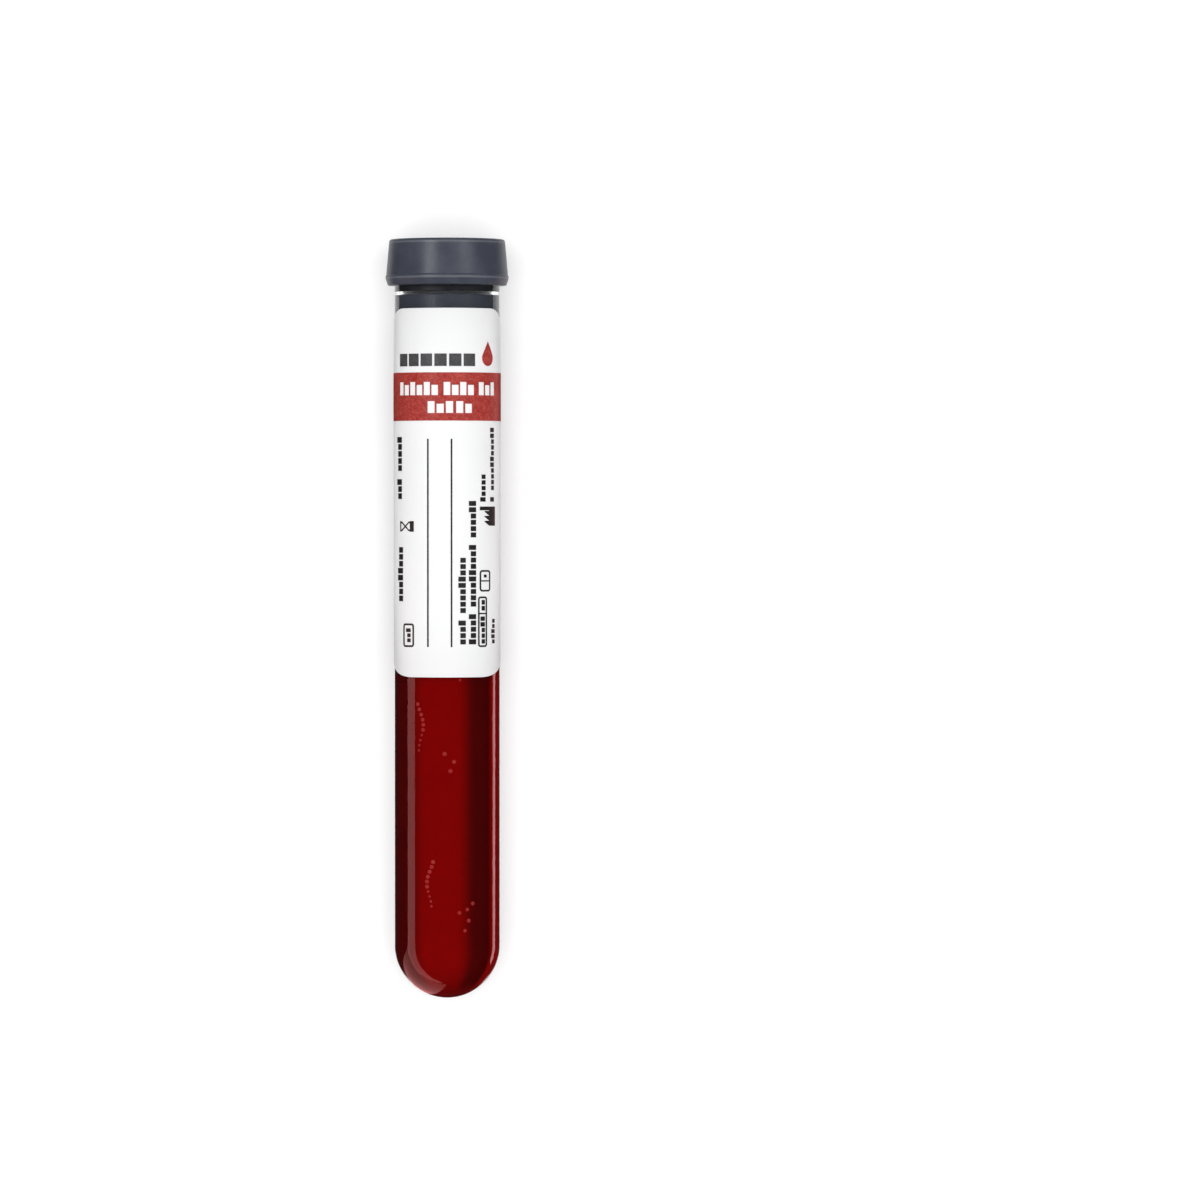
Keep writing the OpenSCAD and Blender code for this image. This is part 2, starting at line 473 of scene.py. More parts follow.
@dataclass(frozen=True)
class GlassFinish(Finish):
    """Clear lab glass with faint waviness along the draw."""

    name: str = "clear_lab_glass"
    colour: RGB = (0.985, 0.992, 0.99)
    cast: RGB = (0.975, 0.988, 0.986)
    lets_through: RGB = (0.97, 0.98, 0.98)
    index: float = 1.45
    glint: RGB = (0.8, 0.8, 0.8)
    cast_size: float = 20 * MM
    wave_size: float = 9 * MM
    wave_height: float = 0.004 * MM

    def shader(self, bench: Bench, at: bpy.types.NodeSocket) -> bpy.types.NodeSocket:
        """Builds the glass, which lets the lamps' rays through to what is behind it."""
        body = bench.principled(
            Base_Color=bench.mix(bench.noise(at, self.cast_size, 1.0), self.colour, self.cast),
            Roughness=0.0,
            IOR=self.index,
            Specular_Tint=self.glint,
            Transmission_Weight=1.0,
            Normal=bench.bump(bench.noise(at, self.wave_size, 1.0), self.wave_height),
        )
        clear = bench.add("ShaderNodeBsdfTransparent", None, {"Color": self.lets_through})
        lamps = bench.add("ShaderNodeLightPath").outputs["Is Shadow Ray"]
        both = bench.add("ShaderNodeMixShader", None, {0: lamps, 1: body, 2: clear.outputs[0]})
        return both.outputs[0]


@dataclass(frozen=True)
class RubberFinish(Finish):
    """Blue-grey moulded rubber, satin, with fine filler specks and a powdery bloom."""

    axis: TubeAxis
    name: str = "blue_grey_rubber"
    colour: RGB = (0.046, 0.052, 0.072)
    bloom: RGB = (0.058, 0.065, 0.087)
    speck: RGB = (0.10, 0.105, 0.12)
    painted_highlight: RGB = (0.135, 0.142, 0.165)
    wet: RGB = (0.022, 0.026, 0.038)
    shade: RGB = (0.003, 0.0035, 0.005)
    # Painted highlight lines round the head, along the ridge and just under the top edge: station of the
    # middle and half the width.
    rings: tuple[Point2, ...] = (mm(109.62, 0.24), mm(115.0, 0.22))
    ring_core: float = 0.3
    painted_highlight_share: Point2 = (0.45, 0.5)
    speck_share: float = 0.35
    # The part inside the glass is wet, and shaded above the plug's groove.
    wet_to: float = 108.5 * MM
    wet_fade: float = 0.08 * MM
    wet_share: float = 0.8
    shade_from: float = 107.20 * MM
    shade_fade: float = 0.2 * MM
    shade_share: float = 0.95
    cloud_size: float = 3.0 * MM
    grain_size: float = 0.22 * MM
    speck_size: float = 0.12 * MM
    grain_height: float = 0.012 * MM
    roughness: float = 0.36

    def shader(self, bench: Bench, at: bpy.types.NodeSocket) -> bpy.types.NodeSocket:
        """Builds the rubber, with painted highlight lines round its head."""
        clouds = bench.noise(at, self.cloud_size, 3.0)
        grain = bench.noise(at, self.grain_size, 3.0, 0.6)
        specks = bench.noise(at, self.speck_size, 1.0).between(0.66, 0.74)
        colour = bench.mix(clouds.between(0.35, 0.7), self.colour, self.bloom)
        colour = bench.mix(specks * self.speck_share, colour, self.speck)
        offset = bench.vector("SUBTRACT", at, tuple(self.axis.tip))
        station = bench.dot(offset, tuple(self.axis.along))
        # Painted highlight: lighter lines along the ridge and under the top edge, a little uneven with
        # the clouds.
        painted_highlight: Any = 0.0
        for middle, half in self.rings:
            off = bench.math("ABSOLUTE", station - middle)
            painted_highlight = (1.0 - off.between(self.ring_core * half, half)) + painted_highlight
        least, cloudy = self.painted_highlight_share
        colour = bench.mix(painted_highlight * (least + cloudy * clouds), colour, self.painted_highlight)
        inside = 1.0 - station.between(self.wet_to - self.wet_fade, self.wet_to)
        colour = bench.mix(inside * self.wet_share, colour, self.wet)
        collar = inside * station.between(self.shade_from - self.shade_fade, self.shade_from)
        colour = bench.mix(collar * self.shade_share, colour, self.shade)
        return bench.principled(
            Base_Color=colour,
            Roughness=self.roughness + 0.12 * (grain - 0.5) + 0.08 * (clouds - 0.5),
            IOR=1.5,
            Specular_IOR_Level=0.16,
            Normal=bench.bump(grain * 0.7 + clouds * 0.3, self.grain_height),
        )


@dataclass(frozen=True)
class FilmFinish(Finish):
    """White coated label film with a faint fibre grain."""

    name: str = "white_label_film"
    colour: RGB = (0.90, 0.90, 0.905)
    cloud: RGB = (0.885, 0.888, 0.895)
    fibre: RGB = (0.86, 0.86, 0.862)
    cloud_size: float = 6.0 * MM
    fibre_size: float = 0.16 * MM
    fibre_height: float = 0.004 * MM
    stretch: Point3 = (1.0, 0.35, 1.0)
    roughness: float = 0.5

    def shader(self, bench: Bench, at: bpy.types.NodeSocket) -> bpy.types.NodeSocket:
        """Builds the label film."""
        fibre = bench.noise(bench.vector("MULTIPLY", at, self.stretch), self.fibre_size, 4.0, 0.6)
        clouds = bench.noise(at, self.cloud_size, 2.0)
        colour = bench.mix(clouds.between(0.3, 0.7), self.colour, self.cloud)
        return bench.principled(
            Base_Color=bench.mix(fibre.between(0.4, 0.7) * 0.25, colour, self.fibre),
            Roughness=self.roughness + 0.15 * (fibre - 0.5),
            IOR=1.48,
            Specular_IOR_Level=0.15,
            Normal=bench.bump(fibre, self.fibre_height),
        )


@dataclass(frozen=True)
class InkFinish(Finish):
    """Printed ink that covers the film a little unevenly."""

    name: str
    colour: RGB
    thin: RGB
    mottle: float
    dot_size: float = 0.22 * MM
    worm_size: float = 0.7 * MM
    dot_height: float = 0.006 * MM
    roughness: float = 0.42

    def shader(self, bench: Bench, at: bpy.types.NodeSocket) -> bpy.types.NodeSocket:
        """Builds the ink."""
        dots = bench.noise(at, self.dot_size, 2.0, 0.65)
        worms = bench.noise(at, self.worm_size, 2.0)
        cover = (dots * 0.65 + worms * 0.35).between(0.42, 0.62)
        return bench.principled(
            Base_Color=bench.mix(cover * self.mottle, self.colour, self.thin),
            Roughness=self.roughness + 0.15 * (dots - 0.5),
            IOR=1.5,
            Specular_IOR_Level=0.15,
            Normal=bench.bump(dots, self.dot_height),
        )


INK_FINISHES = {
    Inks.RED: InkFinish("red_band_ink", (0.33, 0.024, 0.020), (0.48, 0.072, 0.054), 0.9),
    Inks.GREY: InkFinish("dark_grey_ink", (0.014, 0.012, 0.012), (0.034, 0.031, 0.031), 0.6),
    Inks.HEADING: InkFinish("heading_grey_ink", (0.052, 0.051, 0.054), (0.10, 0.098, 0.10), 0.6),
}


@dataclass(frozen=True)
class BloodFinish(Finish):
    """Blood behind glass, with painted light: a lit band on the upper side and painted shade round it.

    Angles are from the label's middle line, towards +X. A painted lit edge follows the +X side,
    and the tip of the round end has a colour of its own, in place of the painted light and shade.
    """

    axis: TubeAxis
    name: str = "whole_blood"
    bright: RGB = (0.176, 0.0005, 0.0004)
    dark: RGB = (0.048, 0.0003, 0.0003)
    cells: RGB = (0.15, 0.0008, 0.0008)
    edge: RGB = (0.26, 0.0014, 0.0012)
    pole: RGB = (0.135, 0.0004, 0.0003)
    # Painted light: the lit band's middle, where it starts to fade, and where painted shade is full.
    middle: float = math.radians(-7.25)
    painted_lit_half: float = math.radians(19.0)
    painted_shade_half: float = math.radians(45.0)
    # A painted lit edge along the +X side: where it starts, where it is full and where it ends.
    edge_from: float = math.radians(57.0)
    edge_full: float = math.radians(68.0)
    edge_to: float = math.radians(110.0)
    edge_fade: float = 0.4
    edge_share: float = 0.8
    # The painted lit band dulls by this share towards the round end, between these stations.
    tail: float = 0.3
    tail_span: Point2 = mm(0.5, 6.0)
    pole_span: Point2 = mm(1.15, 3.0)
    drift_size: float = 5.0 * MM
    drift: float = 0.12
    stretch: Point3 = (1.0, 0.16, 1.0)
    cell_size: float = 0.5 * MM
    cell_share: float = 0.2

    def shader(self, bench: Bench, at: bpy.types.NodeSocket) -> bpy.types.NodeSocket:
        """Builds the blood, whose painted lit band runs along the tube."""
        axis = self.axis
        offset = bench.vector("SUBTRACT", at, tuple(axis.tip))
        side, up, station = (
            bench.dot(offset, tuple(way)) for way in (axis.side, axis.up, axis.along)
        )
        around = bench.math("ARCTAN2", side, up)
        drawn_out = bench.vector("MULTIPLY", at, self.stretch)
        slow = bench.noise(drawn_out, self.drift_size, 2.0) - 0.5
        fine = bench.noise(at, self.cell_size, 2.0) - 0.5
        # Painted light and shade: film is the lit band about the middle angle, darker round the sides.
        off = bench.math("ABSOLUTE", around + slow * self.drift - self.middle)
        film = 1.0 - off.between(self.painted_lit_half, self.painted_shade_half)
        dulled = (1.0 - self.tail) + station.between(*self.tail_span) * self.tail
        colour = bench.mix(film * dulled, self.dark, self.bright)
        colour = bench.mix((fine * 0.6 + 0.3) * self.cell_share, colour, self.cells)
        # Painted light: a lit edge along the +X side.
        lit = around.between(self.edge_from, self.edge_full)
        lit = lit * (1.0 - around.between(self.edge_to, self.edge_to + self.edge_fade))
        colour = bench.mix(lit * self.edge_share, colour, self.edge)
        # The tip of the round end takes one colour in place of the painted light and shade.
        colour = bench.mix(1.0 - station.between(*self.pole_span), colour, self.pole)
        return bench.principled(
            Base_Color=colour,
            Roughness=0.35 + 0.1 * fine,
            IOR=1.5,
            Specular_IOR_Level=0.0,
        )


@dataclass(frozen=True)
class BubbleFinish(Finish):
    """Froth-pink bubble walls against the glass."""

    name: str = "bubble_walls"
    colour: RGB = (0.31, 0.023, 0.022)
    thin: RGB = (0.26, 0.014, 0.013)
    tone_size: float = 0.2 * MM

    def shader(self, bench: Bench, at: bpy.types.NodeSocket) -> bpy.types.NodeSocket:
        """Builds the bubbles' walls."""
        tone = bench.noise(at, self.tone_size, 1.0)
        return bench.principled(
            Base_Color=bench.mix(tone.between(0.3, 0.7), self.colour, self.thin),
            Roughness=0.35 + 0.1 * tone,
            IOR=1.4,
            Specular_IOR_Level=0.1,
        )


@dataclass(frozen=True)
class GroundFinish(Finish):
    """Matt floor or card of one colour with a faint grain."""

    name: str
    colour: RGB
    grain: RGB
    grain_size: float
    grain_share: float
    roughness: float
    shine: float
    # How much brighter than it is lit it shows, to the eye and to what mirrors it.
    lift: float = 0.0

    def shader(self, bench: Bench, at: bpy.types.NodeSocket) -> bpy.types.NodeSocket:
        """Builds the matt surface."""
        grain = bench.noise(at, self.grain_size) * self.grain_share
        glow: dict[str, Any] = {}
        if self.lift > 0.0:
            path = bench.add("ShaderNodeLightPath").outputs
            seen = bench.math("MAXIMUM", path["Is Camera Ray"], path["Is Glossy Ray"])
            seen = bench.math("MAXIMUM", seen, path["Is Transmission Ray"])
            glow = {"Emission_Color": (1.0, 1.0, 1.0), "Emission_Strength": seen * self.lift}
        return bench.principled(
            Base_Color=bench.mix(grain, self.colour, self.grain),
            Roughness=self.roughness,
            Specular_IOR_Level=self.shine,
            **glow,
        )


PALE_FLOOR = GroundFinish(
    "pale_floor", (0.80, 0.80, 0.80), (0.77, 0.77, 0.77), 20 * MM, 0.1, 0.8, 0.1, 0.29
)
BLACK_CARD = GroundFinish(
    "black_card", (0.012, 0.012, 0.012), (0.018, 0.018, 0.018), 10 * MM, 1.0, 0.9, 0.05
)


# --------------------------------------------------------------------------
# Glass, stopper and blood
# --------------------------------------------------------------------------


@dataclass
class GlassTube:
    """Round-ended tube with a fire-polished rim."""

    outer_r: float = 8.0 * MM
    wall: float = 1.07 * MM
    length: float = 112.3 * MM
    segments: int = 256
    arc_steps: int = 40
    rim_steps: int = 16

    @property
    def bore_r(self) -> float:
        """Radius of the bore."""
        return self.outer_r - self.wall

    def outline(self) -> list[Point2]:
        """Outline from the outside tip over the rim and down to the inside of the round end."""
        centre = self.outer_r
        rim = self.wall / 2.0
        turns = [QUARTER * k / self.arc_steps for k in range(self.arc_steps + 1)]
        out = [(centre * math.sin(a), centre * (1.0 - math.cos(a))) for a in turns]
        for k in range(self.rim_steps + 1):
            a = math.pi * k / self.rim_steps
            out.append((self.outer_r - rim + rim * math.cos(a), self.length - rim + rim * math.sin(a)))
        out += [(self.bore_r * math.cos(a), centre - self.bore_r * math.sin(a)) for a in turns]
        return out

    def build(self, axis: TubeAxis) -> None:
        """Turns the glass about the axis and dresses it."""
        thing = turned(Part.GLASS.piece, axis, self.outline(), self.segments)
        dress(thing, Part.GLASS, GlassFinish().material())


@dataclass
class RubberStopper:
    """One-piece stopper: head with a needle well, ridged skirt and grooved plug.

    The plug ends below a groove in a collar of its own width, which stands just under
    the skirt, and a narrower neck runs on from there up to the seat on the rim.
    """

    seat: float = 112.35 * MM
    top: float = 115.5 * MM
    plug_end: float = 99.7 * MM
    plug_r: float = 6.955 * MM
    plug_chamfer: float = 0.6 * MM
    neck_r: float = 6.33 * MM
    collar_top: float = 109.4 * MM
    collar_slope: float = 0.3 * MM
    groove_r: float = 6.60 * MM
    groove_top: float = 107.54 * MM
    groove_floor: Point2 = mm(107.24, 107.37)
    groove_foot: float = 107.0 * MM
    skirt_end: float = 108.5 * MM
    skirt_r: float = 9.03 * MM
    skirt_bore_r: float = 8.05 * MM
    ridge_r: float = 9.37 * MM
    ridge_from: float = 109.55 * MM
    ridge_to: float = 109.9 * MM
    flare_r: float = 9.27 * MM
    flare_at: float = 110.1 * MM
    top_r: float = 8.8 * MM
    well_r: float = 4.0 * MM
    well_floor: float = 109.7 * MM
    hollow_r: float = 3.5 * MM
    hollow_top: float = 105.9 * MM
    segments: int = 224
    crease: float = 60.0

    def corners(self) -> list[Corner]:
        """Corners of the outline, from the floor of the well round to the hollow."""
        floor_low, floor_high = self.groove_floor
        return [
            Corner(0.0, self.well_floor),
            Corner(self.well_r, self.well_floor, 0.35 * MM),
            Corner(self.well_r, self.top, 0.3 * MM),
            Corner(self.top_r, self.top, 0.4 * MM),
            Corner(self.flare_r, self.flare_at, 0.12 * MM),
            Corner(self.ridge_r, self.ridge_to, 0.08 * MM),
            Corner(self.ridge_r, self.ridge_from, 0.08 * MM),
            Corner(self.skirt_r, self.skirt_end, 0.18 * MM),
            Corner(self.skirt_bore_r, self.skirt_end, 0.1 * MM),
            Corner(self.skirt_bore_r, self.seat, 0.1 * MM),
            Corner(self.neck_r, self.seat, 0.15 * MM),
            Corner(self.neck_r, self.collar_top, 0.1 * MM),
            Corner(self.plug_r, self.collar_top - self.collar_slope, 0.1 * MM),
            Corner(self.plug_r, self.groove_top, 0.06 * MM),
            Corner(self.groove_r, floor_high, 0.05 * MM),
            Corner(self.groove_r, floor_low, 0.05 * MM),
            Corner(self.plug_r, self.groove_foot, 0.10 * MM),
            Corner(self.plug_r, self.plug_end + self.plug_chamfer, 0.2 * MM),
            Corner(self.plug_r - self.plug_chamfer, self.plug_end, 0.15 * MM),
            Corner(self.hollow_r, self.plug_end, 0.3 * MM),
            Corner(self.hollow_r, self.hollow_top, 0.4 * MM),
            Corner(0.0, self.hollow_top),
        ]

    def build(self, axis: TubeAxis) -> None:
        """Turns the stopper about the axis and dresses it."""
        outline = rounded_outline(self.corners())
        thing = turned(Part.STOPPER.piece, axis, outline, self.segments, self.crease)
        dress(thing, Part.STOPPER, RubberFinish(axis).material())


@dataclass
class BloodFill:
    """Blood that wets the glass from the round end up to the plug's chamfered end."""

    glass: GlassTube
    top: float = 99.6 * MM
    climb: float = 0.62 * MM
    wetting: float = 0.03 * MM
    segments: int = 192
    arc_steps: int = 32

    @property
    def radius(self) -> float:
        """Radius of the blood's surface, a little past the bore so that no gap shows."""
        return self.glass.bore_r + self.wetting

    def build(self, axis: TubeAxis) -> None:
        """Turns the blood about the axis and dresses it."""
        centre = self.glass.outer_r
        outline = [(0.0, centre - self.radius)]
        for k in range(1, self.arc_steps + 1):
            a = QUARTER * k / self.arc_steps
            outline.append((self.radius * math.sin(a), centre - self.radius * math.cos(a)))
        outline.append((self.radius, self.top + self.climb))
        outline += [(self.radius - self.climb, self.top), (0.0, self.top)]
        thing = turned(Part.BLOOD.piece, axis, outline, self.segments)
        dress(thing, Part.BLOOD, BloodFinish(axis).material())


# --------------------------------------------------------------------------
# Label and print
# --------------------------------------------------------------------------


@dataclass
class WrapLabel:
    """Label film wrapped part of the way round the glass."""

    width: float = 29.0 * MM
    height: float = 55.9 * MM
    station: float = 49.0 * MM
    inner_r: float = 8.01 * MM
    thickness: float = 0.12 * MM
    # How far each rounded corner reaches around the glass and along the tube.
    upper_corner: Point2 = mm(7.0, 9.0)
    lower_corner: Point2 = mm(9.0, 6.75)
    edge_r: float = 0.04 * MM
    columns: int = 180
    crease: float = 50.0

    @property
    def outer_r(self) -> float:
        """Radius of the face that is printed on."""
        return self.inner_r + self.thickness

    def wrap(self, axis: TubeAxis, x: float, y: float, height: float) -> Vector:
        """The point over a flat place, at a height above the printed face."""
        return axis.at(self.outer_r + height, x / self.inner_r, self.station + y)

    def inset(self, x: float, corner: Point2) -> float:
        """How far a rounded corner pulls an end in at a flat place x.

        Args:
            x: the flat place around the glass.
            corner: the corner's reach around the glass and along the tube.

        Returns:
            The distance from the label's end, in metres.
        """
        past = (abs(x) - (self.width / 2.0 - corner[0])) / corner[0]
        if past <= 0.0:
            return 0.0
        return corner[1] * (1.0 - math.sqrt(max(0.0, 1.0 - past * past)))

    def ends(self) -> list[Point3]:
        """Lines from side to side: (x, lower end, upper end), closer near the sides."""
        out = []
        for i in range(self.columns + 1):
            x = self.width / 2.0 * math.sin(math.pi * (i / self.columns - 0.5))
            low = self.inset(x, self.lower_corner)
            high = self.height - self.inset(x, self.upper_corner)
            out.append((x, low, high))
        return out

    def build(self, axis: TubeAxis) -> None:
        """Makes the film as a closed sheet with softened edges and dresses it."""
        bm = bmesh.new()
        e = self.edge_r
        back = -self.thickness
        rings: list[Ring] = []
        for x, low, high in self.ends():
            section = [(low + e, back), (low, back + e), (low, -e), (low + e, 0.0)]
            section += [(low + share * (high - low), 0.0) for share in (0.25, 0.5, 0.75)]
            section += [(high - e, 0.0), (high, -e), (high, back + e), (high - e, back)]
            rings.append([bm.verts.new(self.wrap(axis, x, y, h)) for y, h in section])
        bridge(bm, rings)
        thing = finished_object(Part.LABEL.piece, bm, self.crease)
        dress(thing, Part.LABEL, FilmFinish().material())


@dataclass
class InkPatch:
    """A flat rectangle of ink, which may have smaller rectangles left out of it."""

    x0: float
    x1: float
    y0: float
    y1: float
    gaps: list[Box2] = field(default_factory=list)

    def cells(self, step: float) -> tuple[list[float], list[float]]:
        """Lines that cut the patch into cells, so that every gap is a set of whole cells."""
        xs, ys = {self.x0, self.x1}, {self.y0, self.y1}
        for a, b, c, d in self.gaps:
            xs |= {a, b}
            ys |= {c, d}
        fine: list[float] = []
        ordered = sorted(xs)
        for a, b in zip(ordered, ordered[1:]):
            count = max(1, math.ceil((b - a) / step))
            fine += [a + (b - a) * i / count for i in range(count)]
        return fine + [ordered[-1]], sorted(ys)

    def inked(self, x: float, y: float) -> bool:
        """True where the patch has ink."""
        return not any(a < x < b and c < y < d for a, b, c, d in self.gaps)


class Print:
    """Ink laid on the label, one mesh for each ink."""

    tiny: float = 1e-9
    thinnest: float = 1e-6
    crease: float = 50.0

    def __init__(self, label: WrapLabel, axis: TubeAxis, thickness: float = 0.05 * MM) -> None:
        """Starts an empty mesh for each ink."""
        self.label = label
        self.axis = axis
        self.thickness = thickness
        self.meshes = {ink: bmesh.new() for ink in Inks}

    def patch(self, ink: Inks, patch: InkPatch, step: float = 0.4 * MM) -> None:
        """Lays a rectangle of ink with its gaps, as a closed slab.

        Args:
            ink: the ink.
            patch: the rectangle, in flat places.
            step: the longest face around the glass.
        """
        bm = self.meshes[ink]
        xs, ys = patch.cells(step)
        cells = {
            (i, j)
            for i in range(len(xs) - 1)
            for j in range(len(ys) - 1)
            if patch.inked((xs[i] + xs[i + 1]) / 2.0, (ys[j] + ys[j + 1]) / 2.0)
        }
        verts: dict[tuple[int, int, int], bmesh.types.BMVert] = {}

        def vert(i: int, j: int, k: int) -> bmesh.types.BMVert:
            """The point at a grid corner, on the film (k = 0) or on top of the ink."""
            if (i, j, k) not in verts:
                place = self.label.wrap(self.axis, xs[i], ys[j], k * self.thickness)
                verts[i, j, k] = bm.verts.new(place)
            return verts[i, j, k]

        for i, j in cells:
            ring = [(i, j), (i + 1, j), (i + 1, j + 1), (i, j + 1)]
            around = [(i, j - 1), (i + 1, j), (i, j + 1), (i - 1, j)]
            bm.faces.new([vert(*c, 1) for c in ring])
            bm.faces.new([vert(*c, 0) for c in reversed(ring)])
            for a, b, beside in zip(ring, ring[1:] + ring[:1], around):
                if beside not in cells:
                    bm.faces.new((vert(*a, 0), vert(*b, 0), vert(*b, 1), vert(*a, 1)))

    def _section(self, bm: bmesh.types.BMesh, a: Sequence[float], b: Sequence[float]) -> Ring:
        """Adds two flat places on the film, and both again on top of the ink."""
        corners = ((a, 0.0), (b, 0.0), (b, self.thickness), (a, self.thickness))
        return [bm.verts.new(self.label.wrap(self.axis, *at, rise)) for at, rise in corners]

    def shape(self, ink: Inks, outline: Sequence[Point2], strips: int = 6) -> None:
        """Lays a filled outline that is cut into strips around the glass.

        Args:
            ink: the ink.
            outline: corners of a shape in flat places, which any upright line
                crosses at most twice.
            strips: columns that it is cut into.
        """
        corners = {x for x, _ in outline}
        first, last = min(corners), max(corners)
        lines = sorted({first + (last - first) * i / strips for i in range(strips + 1)} | corners)
        bm = self.meshes[ink]
        rings: list[Ring] = []
        for x in lines:
            hits: list[float] = []
            for (ax, ay), (bx, by) in zip(outline, [*outline[1:], outline[0]]):
                if not min(ax, bx) - self.tiny <= x <= max(ax, bx) + self.tiny:
                    continue
                if abs(bx - ax) < self.tiny:
                    hits += [ay, by]
                else:
                    hits.append(ay + (by - ay) * (x - ax) / (bx - ax))
            low = min(hits)
            high = max(max(hits), low + self.thinnest)
            rings.append(self._section(bm, (x, low), (x, high)))
        bridge(bm, rings)

    def stroke_loop(self, ink: Inks, loop: Sequence[Point2], stroke: float) -> None:
        """Lays a closed line of even width along a loop of flat places."""
        bm = self.meshes[ink]
        count = len(loop)
        rings: list[Ring] = []
        for i in range(count):
            before, here, after = (Vector(loop[(i + d) % count]) for d in (-1, 0, 1))
            tangent = ((here - before).normalized() + (after - here).normalized()).normalized()
            across = Vector((-tangent.y, tangent.x)) * (stroke / 2.0)
            rings.append(self._section(bm, here - across, here + across))
        bridge(bm, rings, closed=True)

    def dress(self, ink: Inks, part: Part, material: bpy.types.Material) -> None:
        """Turns one ink's mesh into a piece and dresses it."""
        dress(finished_object(part.piece, self.meshes[ink], self.crease), part, material)


def frame_loop(box: Box2, rounding: float, steps: int = 5) -> list[Point2]:
    """A rectangle's outline with rounded corners, as points that go round once."""
    x0, x1, y0, y1 = box
    out: list[Point2] = []
    for cx, cy, start in (
        (x1 - rounding, y0 + rounding, -90.0),
        (x1 - rounding, y1 - rounding, 0.0),
        (x0 + rounding, y1 - rounding, 90.0),
        (x0 + rounding, y0 + rounding, 180.0),
    ):
        for k in range(steps + 1):
            a = math.radians(start + 90.0 * k / steps)
            out.append((cx + rounding * math.cos(a), cy + rounding * math.sin(a)))
    return out


@dataclass(frozen=True)
class LetterRow:
    """A row around the glass with plain blocks in the places of its letters."""

    box: Box2
    words: tuple[int, ...]
    word_gap: float
    gap: float
    # Every second block of a word is lower by this share of the row's height.
    lower: float = 0.22

    def blocks(self) -> list[Box2]:
        """The blocks as rectangles (x0, x1, y0, y1)."""
        start, end, y0, y1 = self.box
        count = sum(self.words)
        room = end - start - self.word_gap * (len(self.words) - 1)
        unit = (room - self.gap * (count - len(self.words))) / count
        out: list[Box2] = []
        x = start
        for word in self.words:
            for k in range(word):
                high = y1 if k % 2 == 0 else y1 - self.lower * (y1 - y0)
                out.append((x, x + unit, y0, high))
                x += unit + self.gap
            x += self.word_gap - self.gap
        return out


@dataclass
class Drop:
    """A plain red drop beside the heading."""

    middle: Point2 = mm(7.05, 48.35)
    radius: float = 1.2 * MM
    tip: float = 2.1 * 1.2 * MM
    steps: int = 32
    strips: int = 24

    def lay(self, ink: Print) -> None:
        """Lays the round part, from one side of the tip to the other, and the tip."""
        x, y = self.middle
        touch = math.asin(self.radius / self.tip)
        outline: list[Point2] = []
        for k in range(self.steps + 1):
            a = math.pi - touch + (math.pi + 2.0 * touch) * k / self.steps
            outline.append((x + self.radius * math.cos(a), y + self.radius * math.sin(a)))
        ink.shape(Inks.RED, outline + [(x, y + self.tip)], self.strips)


@dataclass
class Hourglass:
    """A small hourglass that lies on its side, its lower bulb full."""

    left: float = -8.3 * MM
    waist: float = -6.95 * MM
    right: float = -5.2 * MM
    low: float = 22.05 * MM
    high: float = 23.65 * MM
    bulb: float = 0.72 * MM
    neck: float = 0.13 * MM
    line: float = 0.24 * MM
    plate: float = 0.75 * MM
    # Where the bulbs begin to narrow, from the left and from the right end.
    narrows: Point2 = mm(0.5, 1.0)
    inner_narrows: float = 0.45 * MM

    def lay(self, ink: Print) -> None:
        """Lays its two ends, and then both sides of each bulb."""
        w = self.line
        middle = (self.low + self.high) / 2.0
        plate = self.right - self.plate
        bend, far_bend = self.left + self.narrows[0], self.right - self.narrows[1]
        ink.patch(Inks.GREY, InkPatch(self.left, self.left + w, self.low, self.high))
        ink.patch(Inks.GREY, InkPatch(plate, self.right, self.low, self.high))
        for sign in (-1.0, 1.0):
            far = middle + sign * self.bulb
            near = middle + sign * self.neck
            far_in, near_in = far - sign * w, near - sign * w
            ink.shape(
                Inks.GREY,
                [(self.left + w, far), (bend, far), (self.waist, near), (self.waist, near_in),
                 (self.left + self.inner_narrows, far_in), (self.left + w, far_in)],
            )
            ink.shape(
                Inks.GREY,
                [(self.waist, near), (far_bend, far), (plate, far), (plate, far_in),
                 (far_bend, far_in), (self.waist, near_in)],
            )


@dataclass
class Works:
    """A small works with a saw-tooth roof and a chimney, standing towards -x."""

    ground: float = 8.9 * MM
    eaves: float = 7.4 * MM
    ridge: float = 6.35 * MM
    low: float = 22.95 * MM
    high: float = 25.85 * MM
    chimney_top: float = 5.4 * MM
    chimney_from: float = 25.3 * MM
    teeth: int = 3
    tooth: float = 0.75 * MM
    # Where a tooth's flat top begins and ends along the tube.
    tooth_top: Point2 = mm(0.6, 0.72)

    def lay(self, ink: Print) -> None:
        """Lays the hall, the chimney and the teeth of the roof."""
        ink.patch(Inks.GREY, InkPatch(self.eaves, self.ground, self.low, self.high))
        ink.patch(Inks.GREY, InkPatch(self.chimney_top, self.eaves, self.chimney_from, self.high))
        for k in range(self.teeth):
            low = self.low + self.tooth * k
            top_from, top_to = (low + part for part in self.tooth_top)
            ink.shape(
                Inks.GREY,
                [(self.eaves, low), (self.eaves, low + self.tooth), (self.ridge, top_to),
                 (self.ridge, top_from)],
            )


